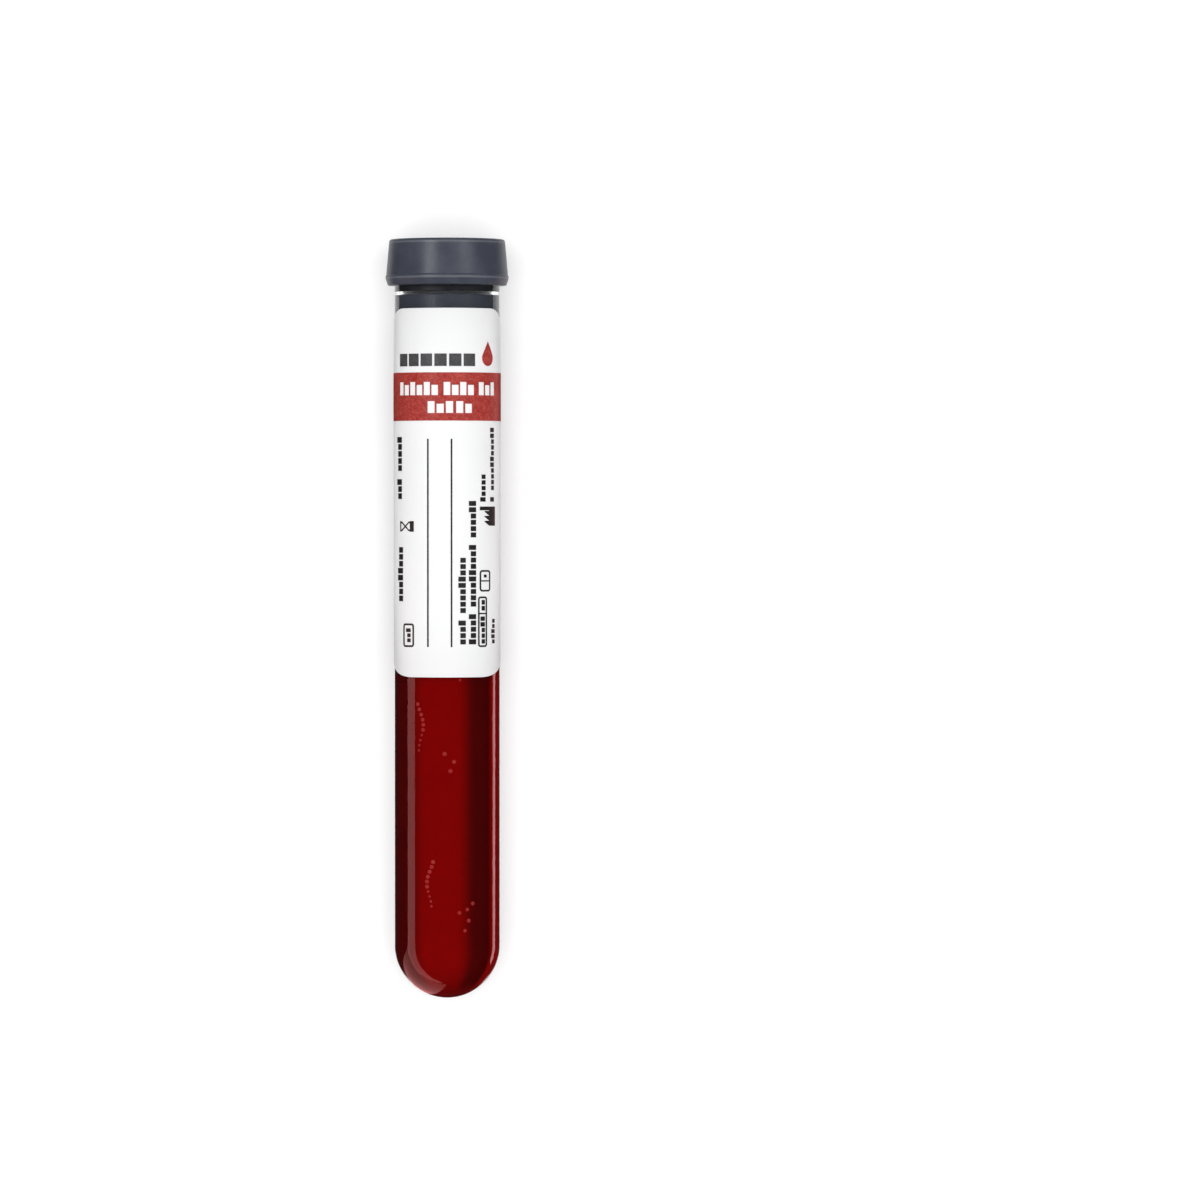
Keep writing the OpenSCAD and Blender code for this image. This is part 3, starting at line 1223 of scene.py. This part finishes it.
@dataclass
class LabelPrint:
    """Everything printed on the label, with plain blocks in the places of letters."""

    label: WrapLabel
    band: Point2 = mm(38.85, 46.15)
    title: LetterRow = LetterRow(mm(-8.36, 8.65, 42.7, 44.7), (6, 4, 3), *mm(0.85, 0.24))
    volume: LetterRow = LetterRow(mm(-2.8, 4.0, 40.0, 41.8), (3, 2), *mm(0.45, 0.3))
    heading: LetterRow = LetterRow(mm(-8.36, 4.53, 47.1, 49.0), (6,), *mm(0.8, 0.35), 0.0)
    write_lines: Point2 = mm(-2.76, 0.82)
    write_span: Point2 = mm(4.6, 36.1)
    line_width: float = 0.24 * MM
    # Empty frames: their box, the rounding of their corners and the width of their line.
    frames: tuple[tuple[Box2, float, float], ...] = (
        (mm(-7.3, -5.3, 4.7, 8.0), *mm(0.3, 0.28)),
        (mm(5.2, 6.7, 4.7, 12.1), *mm(0.3, 0.26)),
        (mm(5.5, 7.45, 13.1, 16.1), *mm(0.35, 0.26)),
    )
    # Small marks in the frames: two in the square one and a bar across the long one.
    marks: tuple[Box2, ...] = (
        mm(5.6, 7.35, 14.5, 14.68),
        mm(6.2, 6.75, 15.1, 15.55),
        mm(5.3, 6.6, 9.55, 9.75),
    )
    # Rows of small print along the tube, in millimetres: middle x, height, where the
    # row starts and ends, and the number that varies its blocks.
    rows: tuple[tuple[float, float, float, float, int], ...] = (
        (-8.6, 1.45, 26.9, 36.5, 3),
        (-8.3, 1.45, 11.4, 19.8, 5),
        (2.42, 1.15, 4.9, 18.2, 7),
        (4.1, 1.2, 4.9, 26.8, 11),
        (6.0, 1.05, 26.5, 30.8, 13),
        (8.1, 0.95, 26.5, 37.9, 17),
        (8.35, 0.9, 5.0, 8.9, 19),
        (-6.3, 0.95, 5.2, 7.5, 23),
        (5.95, 0.85, 5.0, 9.3, 29),
        (5.95, 0.85, 10.0, 11.8, 31),
    )

    def red(self, ink: Print) -> None:
        """Lays the red band with its two rows left out, and the drop."""
        half = self.label.width / 2.0
        gaps = self.title.blocks() + self.volume.blocks()
        ink.patch(Inks.RED, InkPatch(-half, half, *self.band, gaps))
        Drop().lay(ink)

    def grey(self, ink: Print) -> None:
        """Lays the heading, the write-on lines, the frames, their marks and the symbols."""
        for block in self.heading.blocks():
            ink.patch(Inks.HEADING, InkPatch(*block))
        half = self.line_width / 2.0
        for x in self.write_lines:
            ink.patch(Inks.GREY, InkPatch(x - half, x + half, *self.write_span))
        for box, rounding, stroke in self.frames:
            ink.stroke_loop(Inks.GREY, frame_loop(box, rounding), stroke)
        for mark in self.marks:
            ink.patch(Inks.GREY, InkPatch(*mark))
        Hourglass().lay(ink)
        Works().lay(ink)

    def build(self, axis: TubeAxis) -> None:
        """Lays every ink and the rows of small print, and dresses them."""
        ink = Print(self.label, axis)
        self.red(ink)
        self.grey(ink)
        ink.dress(Inks.RED, Part.RED, INK_FINISHES[Inks.RED].material())
        dark = INK_FINISHES[Inks.GREY].material()
        ink.dress(Inks.GREY, Part.GREY, dark)
        ink.dress(Inks.HEADING, Part.HEADING, INK_FINISHES[Inks.HEADING].material())
        dress(SmallPrint(self.label, dark).build(axis, self.rows), Part.ROWS, dark)


# --------------------------------------------------------------------------
# What repeats: small print and bubbles, made by geometry nodes
# --------------------------------------------------------------------------


class Tree(Board):
    """Makes the nodes of one geometry tree."""

    def __init__(self, name: str, *sizes: str) -> None:
        """Starts a tree with a geometry input and output and an input for each named size."""
        super().__init__(bpy.data.node_groups.new(name, "GeometryNodeTree"))
        face = self.tree.interface
        for way in ("INPUT", "OUTPUT"):
            face.new_socket("Geometry", in_out=way, socket_type="NodeSocketGeometry")
        self.identifiers = {
            size: face.new_socket(size, in_out="INPUT", socket_type="NodeSocketFloat").identifier
            for size in sizes
        }
        self.source = self.add("NodeGroupInput")

    def size(self, name: str) -> Value:
        """The value of a named input."""
        return Value(self, self.source.outputs[name])

    def stored(self, name: str, kind: str) -> bpy.types.NodeSocket:
        """What the seed mesh stores for each of its points under a name."""
        node = self.add("GeometryNodeInputNamedAttribute", {"data_type": kind}, {"Name": name})
        return node.outputs["Attribute"]

    def on_points(self, **inputs: Any) -> bpy.types.NodeSocket:
        """Puts an instance on each point of the seed mesh."""
        inputs["Points"] = self.source.outputs["Geometry"]
        return self.add("GeometryNodeInstanceOnPoints", None, inputs).outputs[0]

    def real(self, geometry: bpy.types.NodeSocket) -> bpy.types.NodeSocket:
        """Turns instances into real geometry."""
        return self.add("GeometryNodeRealizeInstances", None, {"Geometry": geometry}).outputs[0]

    def finish(self, geometry: bpy.types.NodeSocket, material: bpy.types.Material) -> None:
        """Ends the tree in real geometry with its material."""
        inputs = {"Geometry": self.real(geometry), "Material": material}
        dressed = self.add("GeometryNodeSetMaterial", None, inputs)
        self.add("NodeGroupOutput", None, {0: dressed.outputs[0]})

    def made(self, name: str, seedling: bpy.types.Mesh, sizes: dict[str, float]) -> bpy.types.Object:
        """Runs the tree on a mesh and returns the result as a plain mesh.

        Args:
            name: the new object's name.
            seedling: the mesh that the tree starts from.
            sizes: the values of the named inputs.

        Returns:
            An object at the origin with no modifier.
        """
        carrier = linked(name + "_seed", seedling)
        modifier = carrier.modifiers.new("tree", "NODES")
        modifier.node_group = self.tree
        for size, value in sizes.items():
            modifier[self.identifiers[size]] = value
        graph = bpy.context.evaluated_depsgraph_get()
        mesh = bpy.data.meshes.new_from_object(carrier.evaluated_get(graph))
        mesh.name = name
        carrier.modifiers.remove(modifier)
        bpy.data.objects.remove(carrier)
        return linked(name, mesh)


def seed_mesh(name: str, places: Sequence[Any], **stored: Sequence[Any]) -> bpy.types.Mesh:
    """Makes a mesh of loose points that store numbers or vectors.

    Args:
        name: the mesh's name.
        places: the points.
        stored: a list with a number or a vector for each point, by name.

    Returns:
        The mesh.
    """
    mesh = bpy.data.meshes.new(name)
    mesh.from_pydata([tuple(place) for place in places], [], [])
    for key, values in stored.items():
        if isinstance(values[0], float):
            layer = mesh.attributes.new(key, "FLOAT", "POINT")
            layer.data.foreach_set("value", values)
        else:
            layer = mesh.attributes.new(key, "FLOAT_VECTOR", "POINT")
            layer.data.foreach_set("vector", [part for vector in values for part in vector])
    return mesh


@dataclass
class SmallPrint:
    """Rows of little blocks that stand for small print, bent round the label."""

    label: WrapLabel
    material: bpy.types.Material
    pitch: float = 0.92 * MM
    # A row's pitch grows with its height: this share, and this much for each millimetre.
    pitch_share: float = 0.55
    pitch_growth: float = 0.4
    gap: float = 0.2 * MM
    ink: float = 0.05 * MM
    low_block: float = 0.74

    def _tree(self, axis: TubeAxis) -> Tree:
        """Builds the tree, which bends flat blocks round the label.

        The seed mesh holds each block's middle as a flat place, with the block's size.
        The blocks are made real while they lie flat, and then every point is moved.

        Args:
            axis: the tube's axis.

        Returns:
            The tree.
        """
        tree = Tree("small_print_rows", "Face Radius", "Wrap Radius", "Station")
        counts = {"Size": (1.0, 1.0, 1.0), "Vertices X": 4, "Vertices Y": 2, "Vertices Z": 2}
        block = tree.add("GeometryNodeMeshCube", None, counts).outputs["Mesh"]
        placed = tree.on_points(Instance=block, Scale=tree.stored("block_size", "FLOAT_VECTOR"))
        spot = tree.add("GeometryNodeInputPosition").outputs[0]
        where = tree.add("ShaderNodeSeparateXYZ", None, {0: spot})
        x, y, z = (Value(tree, where.outputs[name]) for name in "XYZ")
        angle = x / tree.size("Wrap Radius")
        radius = tree.size("Face Radius") + z
        total: Any = tuple(axis.tip)
        for way, amount in (
            (axis.along, tree.size("Station") + y),
            (axis.up, radius * tree.math("COSINE", angle)),
            (axis.side, radius * tree.math("SINE", angle)),
        ):
            total = tree.vector("ADD", total, tree.vector("MULTIPLY", tuple(way), amount))
        inputs = {"Geometry": tree.real(placed), "Position": total}
        tree.finish(tree.add("GeometryNodeSetPosition", None, inputs).outputs[0], self.material)
        return tree

    def _blocks(
        self, middle: float, height: float, start: float, end: float, seed: int
    ) -> list[tuple[Point3, Point3]]:
        """The blocks of one row.

        Args:
            middle: the flat place x of the row's middle, in millimetres.
            height: the row's height, in millimetres.
            start: where the row starts, in millimetres.
            end: where it ends, in millimetres.
            seed: the number that varies its blocks.

        Returns:
            The middle and the size of each block, in metres.
        """
        length = (end - start) * MM
        pitch = self.pitch * (self.pitch_share + self.pitch_growth * height)
        count = max(2, round(length / pitch))
        step = length / count
        out: list[tuple[Point3, Point3]] = []
        for k in range(count):
            turn = (seed * 7 + k * 5) % 11  # a fixed rule in place of chance
            space = turn == 3 and 0 < k < count - 1 and count > 6
            if space:
                continue
            tall = height * MM * (1.0 if turn % 3 == 0 else self.low_block)
            shift = (height * MM - tall) / 2.0
            place = (middle * MM + shift, start * MM + step * (k + 0.5), self.ink / 2.0)
            out.append((place, (tall, step - self.gap, self.ink)))
        return out

    def build(self, axis: TubeAxis, rows: Sequence[tuple]) -> bpy.types.Object:
        """Makes every row as one mesh.

        Args:
            axis: the tube's axis.
            rows: (middle x, height, start, end, seed) of each row, in millimetres.

        Returns:
            The rows as one object.
        """
        blocks = [block for row in rows for block in self._blocks(*row)]
        places, sizes = zip(*blocks)
        seedling = seed_mesh("print_places", places, block_size=sizes)
        values = {
            "Face Radius": self.label.outer_r,
            "Wrap Radius": self.label.inner_r,
            "Station": self.label.station,
        }
        return self._tree(axis).made(Part.ROWS.piece, seedling, values)


@dataclass(frozen=True)
class BubbleChain:
    """A wavering chain of bubbles, in millimetres and radians."""

    middle: float
    sway: float
    wave_from: float
    start: float
    end: float
    count: int
    first_r: float
    last_r: float
    wave: float = 5.6
    calming: float = 0.45
    large_share: float = 0.6

    def spots(self) -> list[Point3]:
        """Its bubbles as (x across, station, radius), with a sway that dies down."""
        out: list[Point3] = []
        for k in range(self.count):
            f = k / (self.count - 1)
            sway = self.sway * math.sin(self.wave_from + self.wave * f) * (1.0 - self.calming * f)
            radius = self.first_r if f < self.large_share else self.last_r
            out.append((self.middle + sway, self.start + (self.end - self.start) * f, radius))
        return out


@dataclass
class Bubbles:
    """Small bubbles that cling to the inside of the glass in short chains."""

    fill: BloodFill
    height: float = 0.02 * MM
    segments: int = 14
    rings: int = 7
    # The glass makes what lies behind it look wider, so the bubbles stand closer in.
    narrowing: float = 0.95
    chains: tuple[BubbleChain, ...] = (
        BubbleChain(-3.9, 0.5, -1.1, 44.9, 37.9, 10, 0.31, 0.19),
        BubbleChain(-2.55, 0.55, 1.9, 21.0, 14.3, 10, 0.32, 0.20),
    )
    # Bubbles that sit alone: x across, station and radius, in millimetres.
    loose: tuple[Point3, ...] = (
        (2.1, 48.6, 0.22), (-0.25, 37.4, 0.34), (1.2, 36.2, 0.31), (0.65, 34.8, 0.33),
        (4.0, 14.7, 0.31), (3.2, 13.8, 0.28), (2.0, 13.3, 0.30), (3.4, 12.1, 0.31),
        (2.85, 10.6, 0.28),
    )

    def _tree(self, material: bpy.types.Material) -> Tree:
        """Builds the tree, which puts a flattened ball on each place of the wall."""
        tree = Tree("bubbles_on_wall", "Wall Height")
        counts = {"Segments": self.segments, "Rings": self.rings, "Radius": 1.0}
        ball = tree.add("GeometryNodeMeshUVSphere", None, counts).outputs["Mesh"]
        radius = tree.stored("radius_of", "FLOAT")
        facing = {"Vector": tree.stored("facing", "FLOAT_VECTOR")}
        turn = tree.add("FunctionNodeAlignRotationToVector", {"axis": "Z"}, facing)
        flat = tree.add("ShaderNodeCombineXYZ", None, {0: radius, 1: radius, 2: tree.size("Wall Height")})
        placed = tree.on_points(Instance=ball, Rotation=turn.outputs[0], Scale=flat.outputs[0])
        smooth = tree.add("GeometryNodeSetShadeSmooth", None, {"Geometry": placed})
        tree.finish(smooth.outputs[0], material)
        return tree

    def build(self, axis: TubeAxis) -> None:
        """Makes a low dome at each place and dresses them."""
        spots = list(self.loose)
        for chain in self.chains:
            spots += chain.spots()
        wall = self.fill.radius
        angles = [math.asin(x * MM / wall * self.narrowing) for x, _, _ in spots]
        seedling = seed_mesh(
            "bubble_places",
            [axis.at(wall, angle, t * MM) for angle, (_, t, _) in zip(angles, spots)],
            facing=[axis.outward(angle) for angle in angles],
            radius_of=[r * MM for _, _, r in spots],
        )
        material = BubbleFinish().material()
        sizes = {"Wall Height": self.height}
        thing = self._tree(material).made(Part.BUBBLES.piece, seedling, sizes)
        dress(thing, Part.BUBBLES, material)


# --------------------------------------------------------------------------
# Floor, lamps and camera
# --------------------------------------------------------------------------


@dataclass(frozen=True)
class Lamp:
    """A soft rectangular lamp, in metres and watts.

    Its size is a width and a length. On a lamp that faces up or down they run along X
    and Y, and on one that faces sideways along Y and upwards.

    A mirrored lamp only shows as a reflection in polished surfaces. Any other only
    lights dull ones. Neither is seen by the camera or through the glass.
    """

    name: str
    at: Point3
    aim: Point3
    size: Point2
    power: float
    colour: RGB = (1.0, 1.0, 1.0)
    mirrored: bool = True

    def hang(self) -> None:
        """Hangs the lamp."""
        data = bpy.data.lights.new(self.name, "AREA")
        data.shape = "RECTANGLE"
        data.size, data.size_y = self.size
        data.energy = self.power
        data.color = self.colour
        thing = linked(self.name, data)
        thing.location = self.at
        thing.rotation_mode = "QUATERNION"
        thing.rotation_quaternion = (Vector(self.aim) - Vector(self.at)).to_track_quat("-Z", "Y")
        thing.visible_glossy = self.mirrored
        thing.visible_diffuse = not self.mirrored
        thing.visible_camera = False
        thing.visible_transmission = False


@dataclass
class Studio:
    """A plain pale floor, soft lamps and a camera that looks straight down."""

    floor_half: float = 4.0
    card_height: float = 0.3 * MM
    # The cards that lie around the tube: to its left, beside the stopper on the left,
    # close by on the right, further right, and beyond the round end.
    cards: tuple[Box2, ...] = (
        (-3.900, -0.0097, -3.900, 0.0465),
        (-3.900, -0.0220, 0.0465, 0.200),
        (0.0097, 0.0195, -0.0592, 0.0465),
        (0.0270, 3.900, -3.900, 0.200),
        (-0.0097, 0.0270, -3.900, -0.0592),
    )
    lamps: tuple[Lamp, ...] = (
        Lamp(
            "overhead", (0.0, 0.0, 1.3), (0.0, 0.0, 0.0), (1.2, 1.0), 11.8, mirrored=False
        ),
        Lamp(
            "left_strip", (-0.075, -0.24, 0.020), (0.0, -0.24, 0.014), (0.52, 0.028), 0.13, ROSY
        ),
        Lamp(
            "left_field", (-0.127, -0.179, 0.0004), (-0.127, -0.179, 1.0), (0.246, 0.241), 0.27, ROSY
        ),
        Lamp(
            "right_edge", (0.02325, -0.0061, 0.0004), (0.02325, -0.0061, 1.0), (0.0075, 0.1062),
            0.0049, ROSY
        ),
        Lamp("stopper_left", (-0.22, 0.123, 0.36), (0.0, 0.123, 0.01), (0.095, 0.115), 0.95),
        Lamp("stopper_right", (0.27, 0.123, 0.38), (0.0, 0.123, 0.01), (0.095, 0.21), 0.70),
    )
    # How bright the plain room is to dull surfaces and to what mirrors it.
    room: float = 0.55
    dark_room: float = 0.04
    camera_at: Point3 = (0.02328, 0.00281, 1.0687)
    lens: float = 208.7
    sensor: float = 36.0
    clip: Point2 = (0.01, 20.0)

    def _laid(self, name: str, bm: bmesh.types.BMesh, finish: GroundFinish) -> bpy.types.Object:
        """Turns a bmesh into an object at the origin in the finish's material."""
        mesh = bpy.data.meshes.new(name)
        bm.to_mesh(mesh)
        bm.free()
        mesh.materials.append(finish.material())
        thing = linked(name, mesh)
        return thing

    def lay_floor(self) -> None:
        """Lays a wide pale floor just under the tube."""
        bm = bmesh.new()
        bmesh.ops.create_grid(bm, x_segments=4, y_segments=4, size=self.floor_half)
        self._laid("studio_floor", bm, PALE_FLOOR)

    def lay_cards(self) -> None:
        """Lays black cards around the tube, which only polished surfaces mirror."""
        bm = bmesh.new()
        for x0, x1, y0, y1 in self.cards:
            corners = ((x0, y0), (x1, y0), (x1, y1), (x0, y1))
            bm.faces.new([bm.verts.new((x, y, self.card_height)) for x, y in corners])
        thing = self._laid("black_cards", bm, BLACK_CARD)
        thing.visible_camera = False
        thing.visible_diffuse = False
        thing.visible_transmission = False
        thing.visible_shadow = False

    def light_room(self) -> None:
        """Makes the room white to the eye, plain grey as a light, and dark in mirrors.

        It stays white through the glass, also where a ray is mirrored inside it.
        """
        world = bpy.data.worlds.new("plain_room")
        bpy.context.scene.world = world
        bench = Bench(world)
        path = bench.add("ShaderNodeLightPath").outputs
        through = path["Is Transmission Ray"]
        seen = bench.math("MAXIMUM", path["Is Camera Ray"], through)
        mirrored = (1.0 - Value(bench, through)) * path["Is Glossy Ray"]
        strength = seen * (1.0 - self.room) + mirrored * (self.dark_room - self.room) + self.room
        inputs = {"Color": (1.0, 1.0, 1.0), "Strength": strength}
        background = bench.add("ShaderNodeBackground", None, inputs)
        bench.finish(background.outputs[0], "World")

    def hang_camera(self) -> None:
        """Hangs the camera straight over the tube, a little to its right."""
        data = bpy.data.cameras.new("overhead_camera")
        data.lens = self.lens
        data.sensor_width = self.sensor
        data.clip_start, data.clip_end = self.clip
        thing = linked("overhead_camera", data)
        thing.location = self.camera_at
        bpy.context.scene.camera = thing

    def build(self) -> None:
        """Sets up the floor, the cards, the lamps, the room and the camera."""
        self.lay_floor()
        self.lay_cards()
        for lamp in self.lamps:
            lamp.hang()
        self.light_room()
        self.hang_camera()
        bpy.context.scene.view_settings.view_transform = "Standard"
        LOG.info("studio: %d lamps and %d cards", len(self.lamps), len(self.cards))


def main() -> None:
    logging.basicConfig(level=logging.INFO, format="%(name)s %(message)s")
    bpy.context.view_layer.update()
    axis = TubeAxis.from_record(frame["record"])
    Studio().build()
    glass = GlassTube()
    glass.build(axis)
    RubberStopper().build(axis)
    fill = BloodFill(glass)
    fill.build(axis)
    Bubbles(fill).build(axis)
    label = WrapLabel()
    label.build(axis)
    LabelPrint(label).build(axis)


if __name__ == "__main__":
    main()
